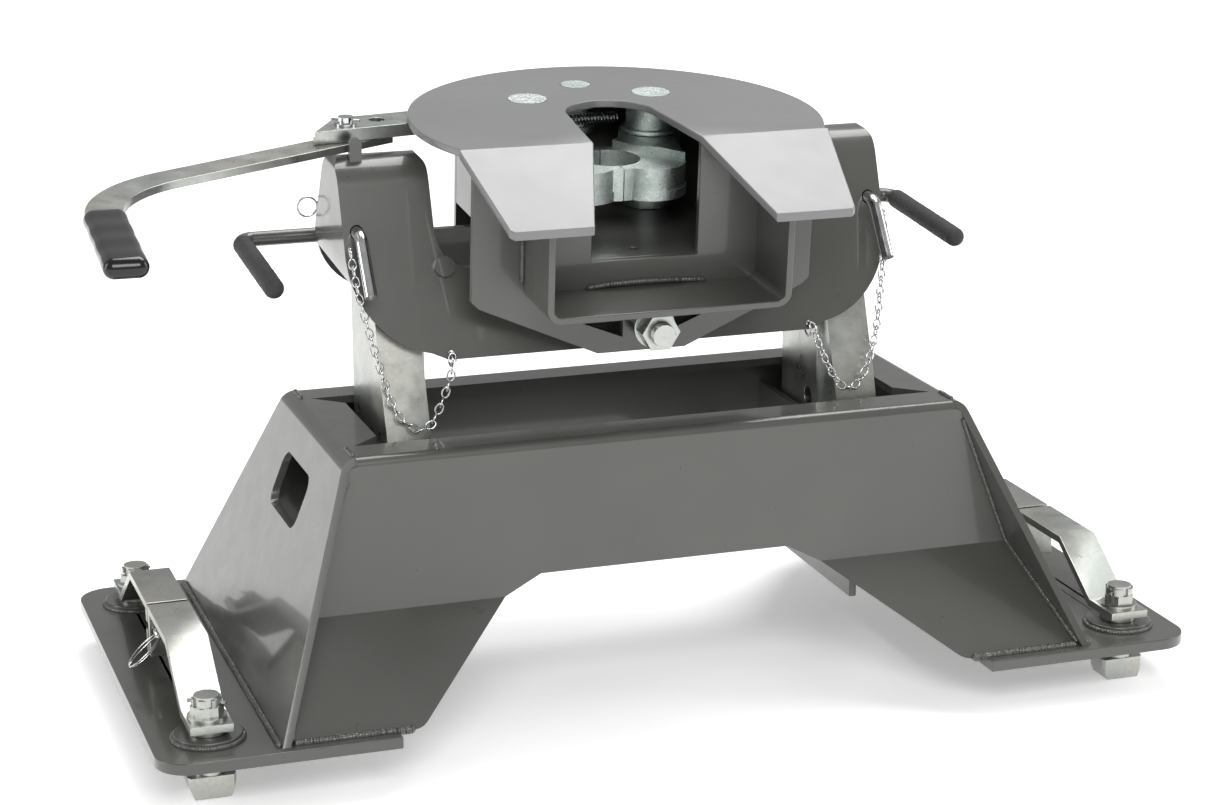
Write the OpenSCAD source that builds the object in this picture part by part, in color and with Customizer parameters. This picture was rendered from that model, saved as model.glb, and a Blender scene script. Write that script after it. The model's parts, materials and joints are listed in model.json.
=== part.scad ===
// Fifth wheel hitch: a fixed base with four quarter-turn feet, two pivot posts,
// a pitching saddle, a rolling head with a skid plate, and a pair of locking jaws.
// Millimetres. X is the width, -Y faces the kingpin's way in, +Z is up.
// The origin is on the bed surface, midway between the four feet.

/* [Base] */
// Height of the base's top flange above the bed
base_h = 205; // [190:1:215]
// Half width of the base at its top
base_top_x = 267; // [262:1:272]
// Half width of the base where it meets the foot plates
base_foot_x = 344; // [338:1:350]
// Half depth of the end plates at the top
base_top_y = 107; // [105:1:109]
// Half depth of the end plates at the bottom
base_foot_y = 205; // [200:1:208]
// Distance from the middle to the upright face of the front and rear panels
panel_y = 112; // [110:1:114]
// Height at which the panels kick outward
kick_z = 77.5; // [70:0.5:85]
// Thickness of the folded sheet
sheet_t = 6.4; // [6:0.1:7]
// Height of the arch between the legs
arch_z = 94; // [88:1:100]
// Half width of the arch at its top
arch_x = 107.5; // [100:0.5:115]

/* [Feet] */
// Distance from the middle to a lock stud across the bed
stud_x = 393; // [388:1:396]
// Distance from the middle to a lock stud along the bed
stud_y = 163; // [160:1:166]
// Thickness of the foot plates
foot_t = 9.5; // [9:0.5:11]
// Outer end of the foot plates
foot_x = 439; // [436:1:444]
// Half length of the foot plates
foot_y = 212; // [210:1:216]
// Radius of the lock studs
stud_r = 10; // [9.5:0.5:10.5]

/* [Posts and pivot] */
// Height of the pitch pivot above the bed
pivot_z = 385; // [380:1:390]
// Distance of the pitch pivot behind the middle
pivot_y = 46; // [44:1:48]
// Inner face of a post
post_x = 179; // [178:1:180]
// Width of a post
post_w = 37; // [36:1:38]
// Angle by which the saddle rests nose-down
nose_down = 5.16; // [4.9:0.02:5.3]

/* [Saddle] */
// Half length of the saddle
saddle_x = 237; // [236:1:239]
// Outer radius of the caps over the posts
cap_r = 32; // [31.8:0.1:32.2]
// Slope of the saddle's plates from the vertical
saddle_lean = 25; // [24.5:0.5:25.5]
// Bottom edge of the saddle's plates
saddle_bottom_z = 265.5; // [264:0.5:268]

/* [Head] */
// Height of the skid plate's top
skid_z = 445; // [443:1:447]
// Radius of the skid plate's round rear
skid_r = 172.8; // [171:0.1:174]
// Height of the roll bolt
roll_z = 295.8; // [294:0.1:297]
// Radius of the roll bolt
roll_r = 9.5; // [9:0.5:10]

/* [Jaws and handle] */
// Radius of the closed jaws' bore, for a two inch kingpin
kingpin_r = 25.6; // [25.5:0.1:25.8]
// Distance of the kingpin behind the middle
kingpin_y = 31; // [30:0.5:32]
// Distance from the middle to a jaw pin, across
jaw_pin_x = 55.4; // [55:0.2:56]
// Distance from the middle to a jaw pin, along
jaw_pin_y = 88.7; // [88:0.1:90]
// Radius of the jaw pins
jaw_pin_r = 16.5; // [16:0.1:16.8]
// Distance of the handle's pivot pin behind the middle
handle_pin_y = 128; // [127:1:130]
// Radius of the handle's pivot pin
handle_pin_r = 12.7; // [12:0.1:13]

/* [Hidden] */
$fn = 64;
HULL_FN = 32;
RUN = 0.06;        // radial clearance of a pin in its hole
END_PLAY = 0.4;    // gap between faces that turn past each other

PAINT = "dimgray";
ZINC = "silver";
BRIGHT = "gainsboro";
RUBBER = [0.08, 0.08, 0.08];

end_slope = (base_foot_x - base_top_x) / (base_h - foot_t);
end_lean = atan(end_slope);
skirt_slope = 1.287;
arch_step = 30.5;
leg_x = 230;
end_bend_r = 14;
top_flange_x = 227;
top_flange_y = 75.5;
panel_bend_r = 8;

post_t = 6.4;
post_top_r = 22;
post_slope = 0.355;
post_shoulder_z = 165;
post_bottom_z = 52;
post_seam_y = -10;
post_step = 4.5;
socket_top_z = 176;
hole_pitch = 31.75;
hole_top_z = 187;
post_bolt_y = 8;
post_bolt_r = 7.9;

stub_r = 11.5;
end_t = 6.4;
end_in_x = saddle_x - end_t;
cap_in_r = cap_r - sheet_t;
ear_x = 161;
ear_fillet_r = 30;
saddle_waist_z = 332;
end_bottom_z = 325;
pin_x = 225.3;
pin_z = 364.5;
pin_r = 5.2;
chain_hole_x = 157.5;
chain_hole_z = 269.6;
chain_hole_r = 2.8;

skid_t = 6.4;
skid_c_y = 19.2;
fold_y = -60.2;
fold_x = 157.5;
wing_y = -156;
wing_x = 143.6;
wing_z = 405;
wing_slope = (skid_z - wing_z) / (fold_y - wing_y);
hanger_y = -62;
rear_hanger_y = 156;
floor_z = 345.4;
channel_x = 103.5;
channel_y = -128.8;
channel_z = 317;
channel_t = 5.6;
side_x = 100;

jaw_top_z = 405;
jaw_bottom_z = 378;
arm_top_z = 411;
bracket_z = 438;
bracket_t = 5;
bar_top_z = 427;
bar_t = 6.6;
bar_w = 28.6;

// ---- helpers ----

function unit(v) = v / norm(v);
function left_normal(d) = [-d[1], d[0]];

// Direction of a path's segment i, held at both ends.
function seg(path, i) =
    let (k = max(0, min(len(path) - 2, i)))
    unit(path[k + 1] - path[k]);

// Mitred offset of a path's corner i.
function mitre(path, i, t) =
    let (a = left_normal(seg(path, i - 1)), b = left_normal(seg(path, i)))
    path[i] + t * (a + b) / (1 + a * b);

// Closed outline of a sheet of thickness t that follows a path on its left side.
function sheet_outline(path, t) = concat(
    path,
    [for (i = [len(path) - 1 : -1 : 0]) mitre(path, i, t)]
);

function arc(c, r, a0, a1, n = 8) = [for (i = [0 : n]) c + r * [cos(a0 + (a1 - a0) * i / n),
                                                               sin(a0 + (a1 - a0) * i / n)]];

function wing_top(y) = skid_z - (fold_y - y) * wing_slope;
function saddle_out_y(z) = cap_r / cos(saddle_lean) + (pivot_z - z) * tan(saddle_lean);

// Closed outline from its right half, listed from the middle's one end to the other.
function mirrored(half) = concat(
    half,
    [for (i = [len(half) - 1 : -1 : 0]) [-half[i][0], half[i][1]]]
);

// Draws its children twice, once mirrored to the left.
module both_sides() {
    children();
    mirror([1, 0, 0]) children();
}

// Draws its children twice, once mirrored to the rear.
module front_and_rear() {
    children();
    mirror([0, 1, 0]) children();
}

// A 2D shape drawn in (Y, Z), extruded along X from x0 to x1.
module along_x(x0, x1) {
    translate([x0, 0, 0]) rotate([90, 0, 90]) linear_extrude(x1 - x0) children();
}

// A 2D shape drawn in (X, Z), extruded along Y from y0 to y1.
module along_y(y0, y1) {
    translate([0, y1, 0]) rotate([90, 0, 0]) linear_extrude(y1 - y0) children();
}

// A 2D shape drawn in (X, Y), extruded along Z from z0 to z1.
module along_z(z0, z1) {
    translate([0, 0, z0]) linear_extrude(z1 - z0) children();
}

module rod_x(r, x0, x1) {
    translate([x0, 0, 0]) rotate([0, 90, 0]) cylinder(r = r, h = x1 - x0);
}

module rod_y(r, y0, y1) {
    translate([0, y1, 0]) rotate([90, 0, 0]) cylinder(r = r, h = y1 - y0);
}

module round_rect(x0, x1, y0, y1, r) {
    translate([x0 + r, y0]) square([x1 - x0 - 2 * r, y1 - y0]);
    translate([x0, y0 + r]) square([x1 - x0, y1 - y0 - 2 * r]);
    for (x = [x0 + r, x1 - r], y = [y0 + r, y1 - r]) translate([x, y]) circle(r);
}

// Parts of the saddle and the head are drawn level and laid nose-down on the pivot.
module at_rest() {
    translate([0, pivot_y, pivot_z]) rotate([nose_down, 0, 0])
        translate([0, -pivot_y, -pivot_z]) children();
}

// Catmull-Rom curve through a list of points.
function curve_point(p, i, t) =
    let (n = len(p) - 1, a = p[max(0, i - 1)], b = p[i], c = p[min(n, i + 1)], d = p[min(n, i + 2)])
    0.5 * ((2 * b) + (c - a) * t + (2 * a - 5 * b + 4 * c - d) * t * t
           + (3 * b - a - 3 * c + d) * t * t * t);
function smooth(p, steps) = concat(
    [for (i = [0 : len(p) - 2], s = [0 : steps - 1]) curve_point(p, i, s / steps)],
    [p[len(p) - 1]]
);

// Round tube along a route of 3D points, none of whose steps runs along `across`.
module tube(route, r, sides, across = [0, 1, 0]) {
    n = len(route);
    function way(i) = unit(route[min(n - 1, i + 1)] - route[max(0, i - 1)]);
    function side_of(d) = unit(cross(d, across));
    rings = [for (i = [0 : n - 1], k = [0 : sides - 1])
        let (d = way(i), u = side_of(d), v = cross(d, u), a = 360 * k / sides)
        route[i] + r * (u * cos(a) + v * sin(a))];
    walls = [for (i = [0 : n - 2], k = [0 : sides - 1])
        let (k1 = (k + 1) % sides)
        [i * sides + k, i * sides + k1, (i + 1) * sides + k1, (i + 1) * sides + k]];
    near_cap = [for (k = [sides - 1 : -1 : 0]) k];
    far_cap = [for (k = [0 : sides - 1]) (n - 1) * sides + k];
    polyhedron(rings, concat([near_cap], walls, [far_cap]), convexity = 6);
}

// ---- base ----

// Folded section of a panel in (Y, Z): top flange, upright web, kicked-out skirt.
module panel_section() {
    c = panel_y - panel_bend_r;
    run = concat(
        [[-top_flange_y, base_h]],
        arc([-c, base_h - panel_bend_r], panel_bend_r, 90, 180),
        [[-panel_y, kick_z], [-panel_y - kick_z * skirt_slope, 0]]
    );
    polygon(sheet_outline(run, sheet_t));
}

// Outside of an end plate in (X, Z): up the slope, round the bend and in along the flange.
end_bend_c = [base_top_x - end_bend_r * tan((90 - end_lean) / 2), base_h - end_bend_r];
end_run = concat(
    [[base_foot_x, foot_t]],
    arc(end_bend_c, end_bend_r, end_lean, 90),
    [[top_flange_x, base_h]]
);

// Face of a panel in (X, Z): the span between the end plates, less the arch.
module panel_face() {
    corner_r = 20;
    polygon(mirrored(concat(
        [[arch_x, arch_z], [arch_x + arch_step, kick_z]],
        arc([leg_x + 8, foot_t + corner_r], corner_r, 234, 270),
        [[base_foot_x - sheet_t / cos(end_lean), foot_t]],
        [for (i = [1 : len(end_run) - 3]) mitre(end_run, i, sheet_t)],
        [[end_bend_c[0], base_h - sheet_t], [end_bend_c[0], base_h + 1]]
    )));
}

module base_panel() {
    color(PAINT) intersection() {
        along_x(-base_foot_x, base_foot_x) panel_section();
        along_y(-base_foot_y, 0) panel_face();
    }
}
module base_front_panel() { base_panel(); }
module base_rear_panel() { mirror([0, 1, 0]) base_panel(); }

module end_plate_solid() {
    flange_cut = 24;
    difference() {
        intersection() {
            along_y(-base_foot_y, base_foot_y) polygon(sheet_outline(end_run, sheet_t));
            along_x(top_flange_x, base_foot_x + 1)
                polygon([[-base_top_y, base_h + 1], [base_top_y, base_h + 1],
                         [base_foot_y, foot_t], [-base_foot_y, foot_t]]);
        }
        hand_hole();
        front_and_rear() along_z(base_h - sheet_t - 1, base_h + 1)
            polygon([[top_flange_x - 1, -panel_y - 1], [end_bend_c[0], -panel_y - 1],
                     [end_bend_c[0], -top_flange_y], [top_flange_x + flange_cut, -top_flange_y],
                     [top_flange_x - 1, -top_flange_y + flange_cut]]);
    }
}

module hand_hole() {
    hole_half_y = 45;
    along_x(top_flange_x + 20, base_foot_x)
        round_rect(-hole_half_y, hole_half_y, base_h - 76, base_h - 33, 12);
}

module base_end_plate_right() { color(PAINT) end_plate_solid(); }
module base_end_plate_left() { color(PAINT) mirror([1, 0, 0]) end_plate_solid(); }

module foot_plate() {
    inner_x = 250.5;
    corner_r = 28;
    color(PAINT) difference() {
        along_z(0, foot_t) intersection() {
            round_rect(inner_x - 60, foot_x, -foot_y, foot_y, corner_r);
            translate([inner_x, -foot_y]) square([foot_x - inner_x, 2 * foot_y]);
        }
        for (y = [-stud_y, stud_y]) translate([stud_x, y, -1])
            cylinder(r = stud_r + RUN, h = foot_t + 2);
    }
}
module foot_plate_right() { foot_plate(); }
module foot_plate_left() { mirror([1, 0, 0]) foot_plate(); }

disc_t = 5;
module foot_discs() {
    disc_r = 27;
    color(PAINT) both_sides() front_and_rear() translate([stud_x, stud_y, foot_t]) difference() {
        cylinder(r = disc_r, h = disc_t);
        translate([0, 0, -1]) cylinder(r = stud_r + RUN, h = disc_t + 2);
    }
}

// Two cross plates on each side hold a post between them.
module post_sockets() {
    gap = 0.5;
    bottom = 40;
    color(PAINT) both_sides() for (x = [post_x - post_step - gap - sheet_t, post_x + post_w + gap])
        difference() {
            translate([x, -panel_y + sheet_t, bottom])
                cube([sheet_t, 2 * (panel_y - sheet_t), socket_top_z - bottom]);
            for (i = [1 : 3]) translate([0, post_bolt_y, hole_top_z - i * hole_pitch])
                rod_x(post_bolt_r + 0.2, x - 1, x + sheet_t + 1);
        }
}

// Side outline of a post in (Y, Z): a round head, an upright back and a raked front.
module post_outline(inset) {
    r = post_top_r - inset;
    fall = atan(post_slope);
    function front(z) = pivot_y - r / cos(fall) - (pivot_z - z) * post_slope;
    foot_z = post_bottom_z - inset;
    polygon(concat(
        [[pivot_y + r, foot_z]],
        arc([pivot_y, pivot_z], r, 0, 180 - fall, 24),
        [[front(post_shoulder_z), post_shoulder_z], [front(post_shoulder_z), foot_z]]
    ));
}

module post() {
    color(ZINC) difference() {
        union() {
            along_x(post_x, post_x + post_w) post_outline(0);
            intersection() {
                along_x(post_x - post_step, post_x + 1) post_outline(0);
                translate([0, post_seam_y, 0]) cube([post_x + post_w, 200, pivot_z - post_top_r]);
            }
        }
        along_x(post_x + post_t, post_x + post_w - post_t) post_outline(post_t);
        translate([0, pivot_y, pivot_z]) rod_x(stub_r, post_x - 5, post_x + post_w + 5);
        for (i = [0 : 3]) translate([0, post_bolt_y, hole_top_z - i * hole_pitch])
            rod_x(post_bolt_r + 0.2, post_x - 5, post_x + post_w + 5);
    }
}
module post_right() { post(); }
module post_left() { mirror([1, 0, 0]) post(); }

post_bolt_rows = [1, 3];
module post_bolts() {
    head_h = 10;
    head_x = post_x - post_step - 0.5 - sheet_t;
    color(ZINC) both_sides() for (i = post_bolt_rows)
        translate([0, post_bolt_y, hole_top_z - i * hole_pitch]) {
            rod_x(post_bolt_r, head_x, post_x + post_w + 26);
            translate([head_x - head_h, 0, 0]) rotate([0, 90, 0]) cylinder(r = 13.5, h = head_h, $fn = 6);
        }
}

module post_nuts() {
    nut_x = post_x + post_w + 0.5 + sheet_t;
    color(ZINC) both_sides() for (i = post_bolt_rows)
        translate([nut_x, post_bolt_y, hole_top_z - i * hole_pitch]) rotate([0, 90, 0]) difference() {
            cylinder(r = 13.5, h = 13, $fn = 6);
            translate([0, 0, -1]) cylinder(r = post_bolt_r, h = 15);
        }
}

// Stub shafts through the posts, which the saddle pins pass beneath.
module pivot_shafts() {
    color(ZINC) both_sides() translate([0, pivot_y, pivot_z])
        rod_x(stub_r, post_x - post_step, end_in_x - 1);
}

// Half sleeves between the posts' round heads and the saddle's caps.
module pivot_bushes() {
    color(RUBBER) both_sides() along_x(post_x, post_x + post_w) translate([pivot_y, pivot_z])
        intersection() {
            difference() {
                circle(cap_in_r - END_PLAY);
                circle(post_top_r + RUN);
            }
            translate([-cap_r, 8]) square([2 * cap_r, cap_r]);
        }
}

// ---- quarter-turn locks ----

// Draws its children for one corner. They are drawn for the right front one, round the stud.
module at_corner(left, rear) {
    mirror([left, 0, 0]) mirror([0, rear, 0]) translate([stud_x, -stud_y, 0]) children();
}

lock_z = foot_t + disc_t + 5.5;   // underside of a lock handle
lock_t = 6.4;
lock_top_z = 65;

module lock_stud() {
    foot_w = 38;
    foot_l = 26;
    color(ZINC) {
        translate([0, 0, -19]) cylinder(r = stud_r, h = 19 + 45);
        intersection() {
            along_y(-foot_l / 2, foot_l / 2)
                polygon([[-foot_w / 2, -18], [foot_w / 2, -18], [foot_w / 2, -24],
                         [foot_w / 2 - 5, -36], [-foot_w / 2 + 5, -36], [-foot_w / 2, -24]]);
            translate([0, 0, -37]) cylinder(r = 21, h = 20);
        }
        translate([0, 0, -18.5]) cylinder(r = 12.5, h = 18.1);
    }
}

// Strap handle: a flat tab round the stud, a slanted leg, a bridge and an upright end tab.
module lock_handle(slot) {
    strap_w = 34;
    end_gap = 2;
    far = stud_y - end_gap;
    run = [[-20, lock_z], [22, lock_z], [79, lock_top_z - lock_t], [far - lock_t, lock_top_z - lock_t],
           [far - lock_t, 22]];
    color(ZINC) difference() {
        along_x(-strap_w / 2, strap_w / 2) polygon(sheet_outline(run, lock_t));
        translate([0, 0, lock_z - 1]) cylinder(r = stud_r, h = lock_t + 2);
        along_y(far - lock_t - 4, far + 1) translate([clip_dx, clip_z]) {
            circle(clip_r + 0.6);
            if (slot) translate([-7, -3.4]) square([14, 6.8]);
        }
    }
}

// Spacer, washer, slotted nut and split pin on a stud, as separate pieces.
module lock_nut() {
    spacer_z = foot_t + disc_t + END_PLAY;
    washer_z = lock_z + lock_t;
    nut_z = washer_z + 2.6;
    nut_h = 14;
    hex_r = 13.4;
    color(ZINC) {
        translate([0, 0, spacer_z]) ring(15, stud_r, lock_z - spacer_z);
        translate([0, 0, washer_z]) ring(15.5, stud_r, 2.6);
        translate([0, 0, nut_z]) difference() {
            union() {
                cylinder(r = hex_r, h = nut_h - 6, $fn = 6);
                cylinder(r = 11.8, h = nut_h);
            }
            translate([0, 0, -1]) cylinder(r = stud_r, h = nut_h + 2);
            for (a = [0 : 60 : 120]) rotate([0, 0, a + 30])
                translate([-20, -2.2, nut_h - 6]) cube([40, 4.4, 7]);
        }
        difference() {
            translate([0, 0, nut_z + nut_h - 4]) rotate([0, 0, 30]) rod_x(1.5, -15.5, 15.5);
            cylinder(r = stud_r, h = 80);
        }
    }
}

module ring(outer, inner, h) {
    difference() {
        cylinder(r = outer, h = h);
        translate([0, 0, -1]) cylinder(r = inner, h = h + 2);
    }
}

clip_dx = 12;
clip_z = 45;
clip_r = 2.4;
// Wire clip: a pin through both end tabs, and a round bail hanging in front of them.
module lock_clip() {
    tab_y = stud_y - 2 - lock_t;
    bail_r = 15;
    color(BRIGHT) translate([clip_dx, 0, clip_z]) {
        rod_y(clip_r, tab_y - 16, stud_y + 9);
        translate([5, tab_y - 12, -bail_r - 1]) rotate([90, 0, 12])
            rotate_extrude() translate([bail_r, 0]) circle(1.3);
    }
}

module lock_stud_front_left() { at_corner(1, 0) lock_stud(); }
module lock_stud_rear_left() { at_corner(1, 1) lock_stud(); }
module lock_stud_front_right() { at_corner(0, 0) lock_stud(); }
module lock_stud_rear_right() { at_corner(0, 1) lock_stud(); }
module lock_handle_front_left() { at_corner(1, 0) lock_handle(false); }
module lock_handle_rear_left() { at_corner(1, 1) lock_handle(true); }
module lock_handle_front_right() { at_corner(0, 0) lock_handle(false); }
module lock_handle_rear_right() { at_corner(0, 1) lock_handle(true); }
module lock_nut_front_left() { at_corner(1, 0) lock_nut(); }
module lock_nut_rear_left() { at_corner(1, 1) lock_nut(); }
module lock_nut_front_right() { at_corner(0, 0) lock_nut(); }
module lock_nut_rear_right() { at_corner(0, 1) lock_nut(); }
module lock_clip_left() { at_corner(1, 0) lock_clip(); }
module lock_clip_right() { at_corner(0, 0) lock_clip(); }

// ---- saddle ----

// Front-view outline of the saddle in (X, Z), right half.
module saddle_face() {
    top = pivot_z + cap_r + 0.5;
    corner_r = 8;
    polygon(mirrored(concat(
        [[160, saddle_bottom_z]],
        arc([160, 347], 77, 280, 350, 10),
        [[saddle_x, 345]],
        arc([saddle_x - corner_r, top - corner_r], corner_r, 0, 90),
        arc([ear_x + 9, top - 9], 9, 90, 180),
        arc([ear_x - ear_fillet_r, saddle_waist_z + ear_fillet_r], ear_fillet_r, 355, 272, 8)
    )));
}

// Section of a raked plate in (Y, Z), as drawn for the front one, with the roll over the
// pivot from its tangent point to the angle `cap_end`.
module raked_section(cap_end) {
    tangent = 180 - saddle_lean;
    reach = 160;
    down = reach * [-sin(saddle_lean), -cos(saddle_lean)];
    steps = cap_end < tangent ? 30 : 0;
    function rim(r) = steps > 0 ? arc([0, 0], r, tangent, cap_end, steps)
                                : [r * [cos(tangent), sin(tangent)]];
    outer = rim(cap_r);
    inner = rim(cap_in_r);
    translate([pivot_y, pivot_z]) polygon(concat(
        [outer[0] + down],
        outer,
        [for (i = [steps : -1 : 0]) inner[i]],
        [inner[0] + down]
    ));
}

// Space taken by the end plates, which the sheets stop against.
module end_blocks() {
    both_sides() translate([end_in_x, -100, end_bottom_z]) cube([20, 300, 120]);
}

module saddle_holes() {
    both_sides() translate([pin_x, 0, pin_z]) rod_y(pin_r + 0.6, -100, 200);
    both_sides() translate([chain_hole_x, 0, chain_hole_z]) rod_y(chain_hole_r, -100, pivot_y);
    translate([0, 0, roll_z]) rod_y(roll_r + RUN, -100, 200);
}

module saddle_front_plate() {
    color(PAINT) at_rest() difference() {
        intersection() {
            along_x(-saddle_x, saddle_x) raked_section(saddle_lean);
            along_y(-60, 160) saddle_face();
        }
        end_blocks();
        saddle_holes();
        stop_bolt_axis() cylinder(r = 5, h = 60, center = true);
    }
}

module saddle_rear_plate() {
    color(PAINT) at_rest() difference() {
        intersection() {
            along_x(-saddle_x, saddle_x) translate([2 * pivot_y, 0]) mirror([1, 0]) raked_section(180);
            along_y(-60, 160) saddle_face();
        }
        end_blocks();
        saddle_holes();
    }
}

// Side outline of an end plate in (Y, Z): the cap's round top and the raked sides.
module end_outline() {
    half_y = saddle_out_y(end_bottom_z);
    translate([pivot_y, 0]) polygon(concat(
        [[half_y, end_bottom_z]],
        arc([0, pivot_z], cap_r, saddle_lean, 180 - saddle_lean, 30),
        [[-half_y, end_bottom_z]]
    ));
}

module saddle_end_plate() {
    color(PAINT) at_rest() difference() {
        intersection() {
            along_x(end_in_x, saddle_x) end_outline();
            along_y(-100, 200) saddle_face();
        }
        saddle_holes();
    }
}
module saddle_end_plate_right() { saddle_end_plate(); }
module saddle_end_plate_left() { mirror([1, 0, 0]) saddle_end_plate(); }

handle_y = 114;
handle_z = 330;
handle_x = 299;
handle_r = 6.3;
handle_bend = 11;
handle_tip_y = -21;
// Bars welded behind the rear plate, bent forward past the saddle's ends.
module carry_handles() {
    color(PAINT) at_rest() both_sides() translate([0, 0, handle_z]) {
        translate([0, handle_y, 0]) rod_x(handle_r, 196, handle_x - handle_bend);
        translate([handle_x - handle_bend, handle_y - handle_bend, 0])
            rotate_extrude(angle = 90) translate([handle_bend, 0]) circle(handle_r);
        translate([handle_x, 0, 0]) rod_y(handle_r, handle_tip_y, handle_y - handle_bend);
    }
}

module carry_grips() {
    grip_r = 8.2;
    color(RUBBER) at_rest() both_sides() translate([handle_x, 0, handle_z]) difference() {
        union() {
            rod_y(grip_r, handle_tip_y, handle_y - handle_bend - 2);
            translate([0, handle_tip_y, 0]) sphere(grip_r);
        }
        rod_y(handle_r, handle_tip_y, handle_y);
    }
}

pin_front_y = -6;
pin_drop = 40;
pin_bend = 14;
pin_rear_y = 112;
// Bent pins below the stub shafts: straight through both plates, then turned down in front.
module saddle_pins() {
    leg = 46;
    turn = 90 - pin_drop;
    bend = [for (a = [0 : turn / 8 : turn]) [0, pin_front_y - pin_bend * sin(a), -pin_bend * (1 - cos(a))]];
    leg_end = bend[8] - leg * [0, cos(turn), sin(turn)];
    color(BRIGHT) at_rest() both_sides() translate([pin_x, 0, pin_z]) difference() {
        tube(concat([[0, pin_rear_y, 0]], bend, [leg_end]), pin_r, 24, [1, 0, 0]);
        clip_axis() rod_x(clip_wire_r + 0.15, -10, 10);
    }
}

clip_wire_r = 0.9;
// Line through a pin's rear end along which its clip is pushed in.
module clip_axis() {
    translate([0, pin_rear_y - 6, 0]) rotate([0, 22, 0]) children();
}

// Ring-ended wire clips through the rear ends of the pins.
module saddle_pin_clips() {
    ring_r = 8.4;
    ring_x = 18.4;
    color(BRIGHT) at_rest() both_sides() translate([pin_x, 0, pin_z]) clip_axis() {
        rod_x(clip_wire_r, -9, ring_x - ring_r);
        translate([ring_x, 0, 0]) rotate([90, 0, 0])
            rotate_extrude() translate([ring_r, 0]) circle(clip_wire_r);
    }
}

// Round-headed bolt through the front plate beside the left post.
module stop_bolt_axis() {
    translate([-156, pivot_y - saddle_out_y(334.6), 334.6]) rotate([90 - saddle_lean, 0, 0]) children();
}
module saddle_stop_bolt() {
    color(PAINT) at_rest() stop_bolt_axis() {
        cylinder(r = 8.5, h = 4);
        translate([0, 0, -18]) cylinder(r = 5, h = 18);
    }
}

chain_r = 3.2;
left_route = [[-235, -12, 350], [-231, -20, 316], [-224, -27, 281], [-215, -35, 244], [-206, -43.5, 218],
              [-192, -48, 206], [-180, -48, 210], [-170, -46.5, 227], [-162, -45, 247], [-158, -36.8, 262.5]];
right_route = [[233, -12, 350], [230, -20, 315], [226, -25, 285], [221, -31, 256], [211, -40, 231],
               [199, -46, 212], [186, -48, 208], [175, -47, 219], [164, -45, 241], [158, -36.8, 262.5]];
module chain_left() { color(BRIGHT) tube(smooth(left_route, 4), chain_r, 8); }
module chain_right() { color(BRIGHT) tube(smooth(right_route, 4), chain_r, 8); }

// ---- head ----

// Plan outline of the throat that guides the kingpin, in (X, Y).
module throat(r_add) {
    translate([0, kingpin_y]) circle(38 + r_add);
    polygon([[-38 - r_add, kingpin_y], [-42.5, -15], [-46.1, fold_y], [-76.3, wing_y - 2],
             [76.3, wing_y - 2], [46.1, fold_y], [42.5, -15], [38 + r_add, kingpin_y]]);
}

module skid_plan() {
    difference() {
        union() {
            intersection() {
                translate([0, skid_c_y]) circle(skid_r);
                translate([-200, fold_y]) square([400, 400]);
            }
            polygon([[-fold_x, fold_y], [-wing_x, wing_y + 3], [3 - wing_x, wing_y], [wing_x - 3, wing_y],
                     [wing_x, wing_y + 3], [fold_x, fold_y],
                     [skid_r * cos(-27), skid_c_y + skid_r * sin(-27) + 6],
                     [-skid_r * cos(-27), skid_c_y + skid_r * sin(-27) + 6]]);
        }
        throat(0);
    }
}

// Skid plate: a flat, round-backed plate whose two front wings fold down.
module skid_plate() {
    color("gray") at_rest() difference() {
        intersection() {
            along_x(-200, 200) polygon([[200, skid_z], [fold_y, skid_z], [wing_y - 20, wing_top(wing_y - 20)],
                [wing_y - 20, wing_top(wing_y - 20) - skid_t / cos(atan(wing_slope))],
                [fold_y + 1.3, skid_z - skid_t], [200, skid_z - skid_t]]);
            along_z(wing_z - 40, skid_z + 1) skid_plan();
        }
        both_sides() translate([jaw_pin_x, jaw_pin_y, skid_z - 20]) cylinder(r = jaw_pin_r, h = 30);
        translate([0, handle_pin_y, skid_z - 20]) cylinder(r = handle_pin_r, h = 30);
    }
}

// Room under the skid plate and its wings, in (Y, Z).
module under_skid() {
    drop = skid_t / cos(atan(wing_slope));
    rear = rear_hanger_y + 40;
    polygon([[rear, 200], [rear, skid_z - skid_t], [fold_y + 1.3, skid_z - skid_t],
             [wing_y, wing_top(wing_y) - drop], [wing_y, 200]]);
}

module head_front_channel() {
    r = 12;
    inner_x = channel_x - channel_t;
    color(PAINT) at_rest() intersection() {
        along_y(channel_y, hanger_y) difference() {
            union() {
                round_rect(-channel_x, channel_x, channel_z, skid_z - 60, r);
                translate([-channel_x, skid_z - 60 - r]) square([2 * channel_x, 60 + r]);
            }
            round_rect(-inner_x, inner_x, channel_z + channel_t, skid_z - 60, r - channel_t);
            translate([-inner_x, skid_z - 70]) square([2 * inner_x, 80]);
        }
        along_x(-200, 200) under_skid();
    }
}

// Outline of a hanger plate in (X, Z), which carries the head on the roll bolt.
module hanger_face() {
    polygon([[-146.5, skid_z], [-146.5, 318], [-140, 312], [-38, 266], [38, 266], [140, 312], [146.5, 318],
             [146.5, skid_z]]);
}

module head_front_hanger() {
    window_x = 45.9;
    color(PAINT) at_rest() difference() {
        intersection() {
            along_y(hanger_y, hanger_y + sheet_t) hanger_face();
            along_x(-200, 200) under_skid();
        }
        along_y(hanger_y - 1, hanger_y + sheet_t + 1) {
            translate([-window_x, floor_z]) square([2 * window_x, 200]);
            for (side = [-1, 1]) scale([side, 1]) polygon([[17, 279], [17, 293], [51, 293]]);
            translate([0, roll_z]) circle(roll_r + RUN);
        }
    }
}

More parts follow.
